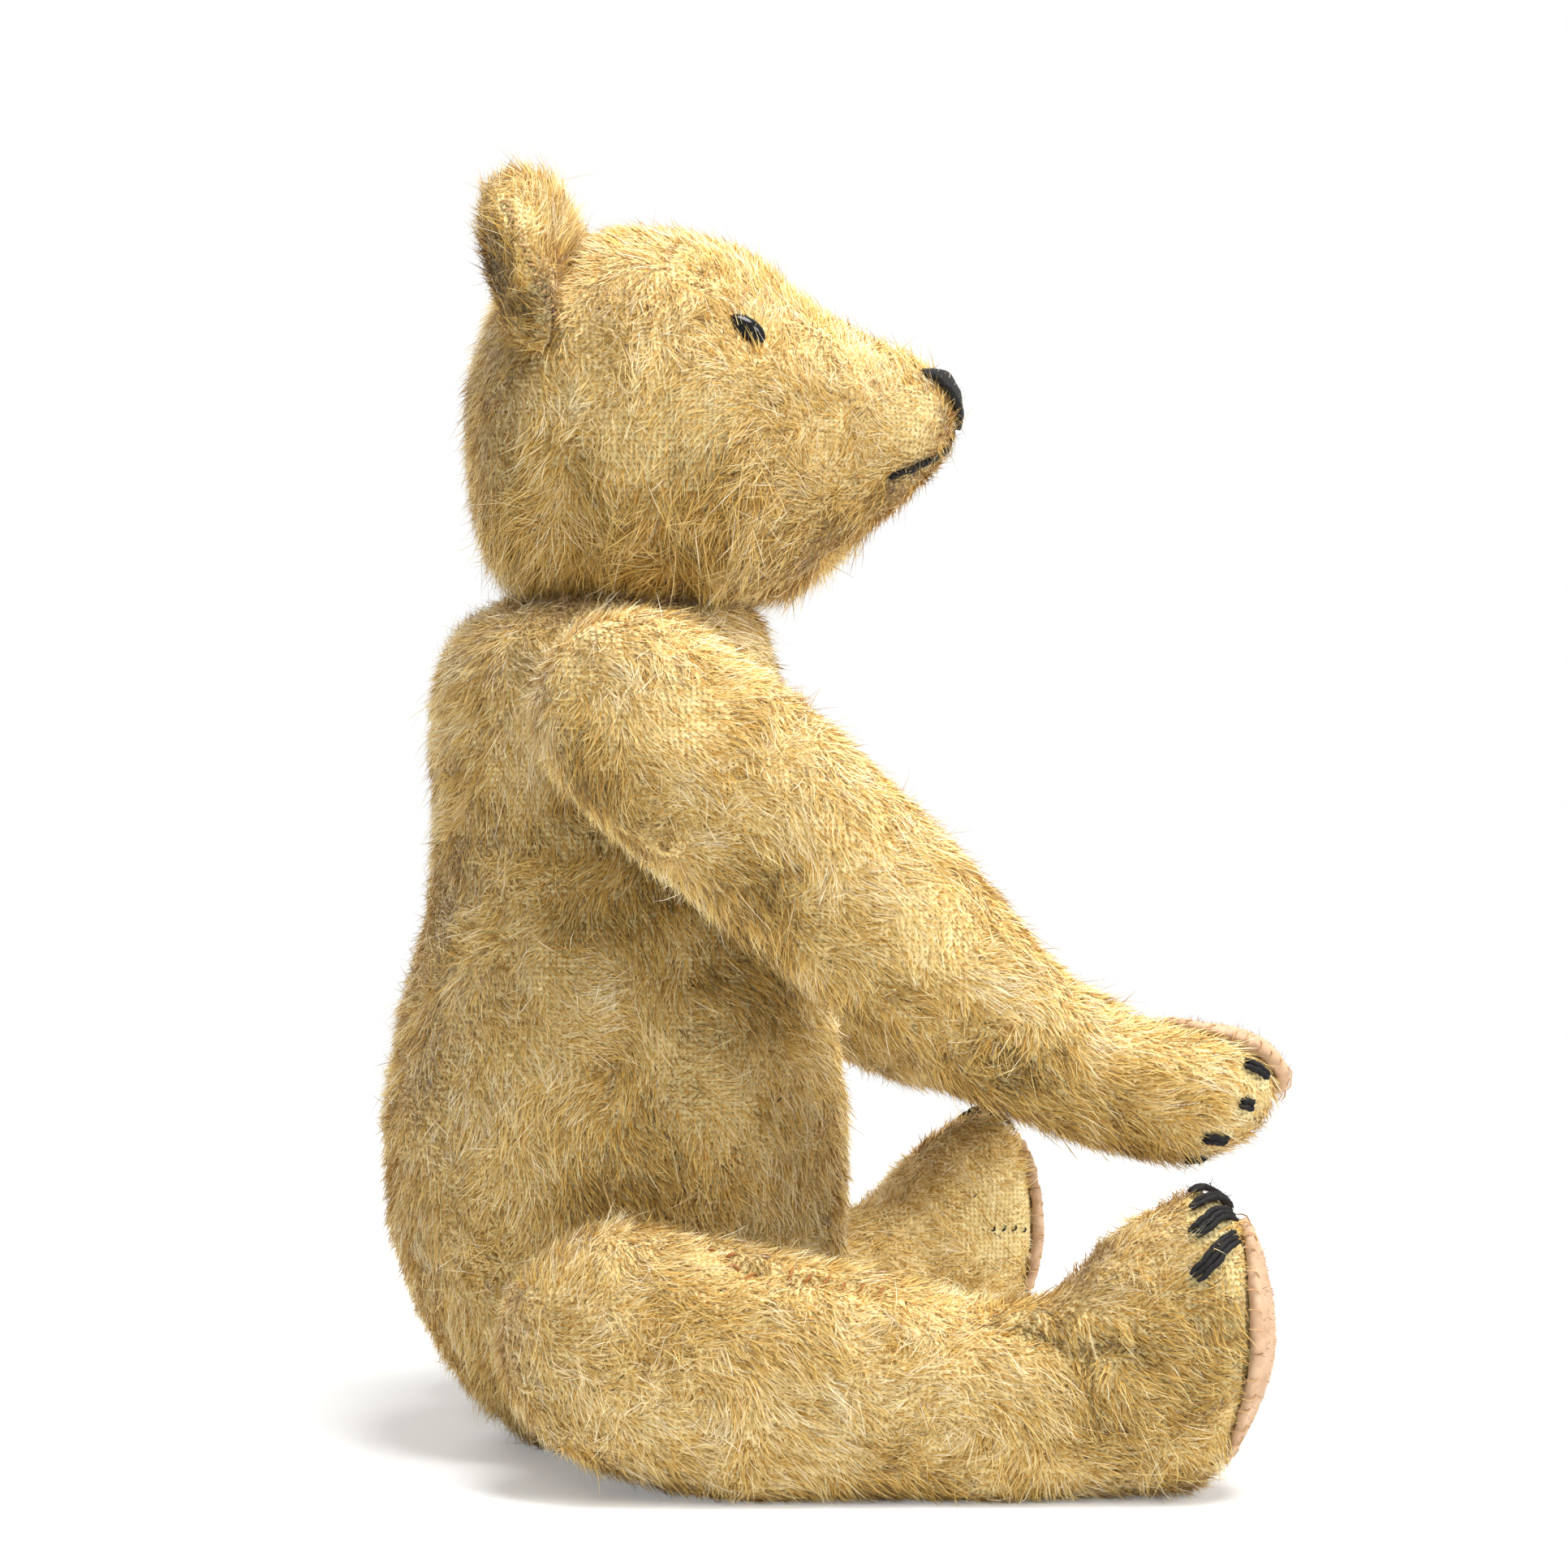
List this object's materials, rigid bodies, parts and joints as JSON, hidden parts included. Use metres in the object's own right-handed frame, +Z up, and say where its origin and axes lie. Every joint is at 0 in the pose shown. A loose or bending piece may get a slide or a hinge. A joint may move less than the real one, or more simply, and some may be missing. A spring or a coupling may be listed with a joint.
{
  "type": "jointed teddy bear",
  "caption": "Small seated old stuffed bear in worn pale gold mohair, with felt pads, stitched face and claws, and a head, arms and legs that turn on inner card discs.",
  "frame": {"origin": "middle of the torso's flat seat, on the surface that the bear sits on", "axes": "+X the way the body faces, +Y to the bear's own left, +Z up"},
  "size_m": [0.0961, 0.1078, 0.1449],
  "materials": {
    "mohair": "worn pale gold mohair pile over a woven backing, thin in patches, with grey-olive dirt",
    "felt": "rubbed pinkish beige felt",
    "thread": "black cotton embroidery thread",
    "button": "glossy black",
    "card": "pressed brown card",
    "steel": "dull steel"
  },
  "bodies": {
    "torso": {"torso": "mohair", "neck_inner_disc": "card", "neck_inner_washer": "steel", "neck_split_pin": "steel", "shoulder_right_inner_disc": "card", "shoulder_right_inner_washer": "steel", "shoulder_right_split_pin": "steel", "shoulder_left_inner_disc": "card", "shoulder_left_inner_washer": "steel", "shoulder_left_split_pin": "steel", "hip_right_inner_disc": "card", "hip_right_inner_washer": "steel", "hip_right_split_pin": "steel", "hip_left_inner_disc": "card", "hip_left_inner_washer": "steel", "hip_left_split_pin": "steel"},
    "head": {"head": "mohair", "nose_stitching": "thread", "mouth_stitching": "thread", "neck_outer_disc": "card", "neck_outer_washer": "steel", "ear_right": "mohair", "eye_right": "button", "ear_left": "mohair", "eye_left": "button"},
    "arm_right": {"arm_right": "mohair", "paw_pad_right": "felt", "paw_claw_right_1": "thread", "paw_claw_right_2": "thread", "paw_claw_right_3": "thread", "paw_claw_right_4": "thread", "shoulder_right_outer_disc": "card", "shoulder_right_outer_washer": "steel"},
    "leg_right": {"leg_right": "mohair", "foot_pad_right": "felt", "foot_claw_right_1": "thread", "foot_claw_right_2": "thread", "foot_claw_right_3": "thread", "foot_claw_right_4": "thread", "hip_right_outer_disc": "card", "hip_right_outer_washer": "steel"},
    "arm_left": {"arm_left": "mohair", "paw_pad_left": "felt", "paw_claw_left_1": "thread", "paw_claw_left_2": "thread", "paw_claw_left_3": "thread", "paw_claw_left_4": "thread", "shoulder_left_outer_disc": "card", "shoulder_left_outer_washer": "steel"},
    "leg_left": {"leg_left": "mohair", "foot_pad_left": "felt", "foot_claw_left_1": "thread", "foot_claw_left_2": "thread", "foot_claw_left_3": "thread", "foot_claw_left_4": "thread", "hip_left_outer_disc": "card", "hip_left_outer_washer": "steel"}
  },
  "joints": [
    {"name": "neck", "type": "hinge", "parent": "torso", "child": "head", "pos_m": [0.003, 0, 0.0973], "axis": [0, 0, 1], "continuous": true},
    {"name": "shoulder_right", "type": "hinge", "parent": "torso", "child": "arm_right", "pos_m": [-0.002, -0.02327, 0.084], "axis": [0, -1, 0], "range_deg": [-1, 270]},
    {"name": "shoulder_left", "type": "hinge", "parent": "torso", "child": "arm_left", "pos_m": [-0.002, 0.02327, 0.084], "axis": [0, -1, 0], "range_deg": [-1, 270]},
    {"name": "hip_right", "type": "hinge", "parent": "torso", "child": "leg_right", "pos_m": [-0.0035, -0.02431, 0.0165], "axis": [0.2079, 0.9781, 0], "range_deg": [-2, 100]},
    {"name": "hip_left", "type": "hinge", "parent": "torso", "child": "leg_left", "pos_m": [-0.0035, 0.02431, 0.0165], "axis": [-0.2079, 0.9781, 0], "range_deg": [-2, 100]}
  ]
}
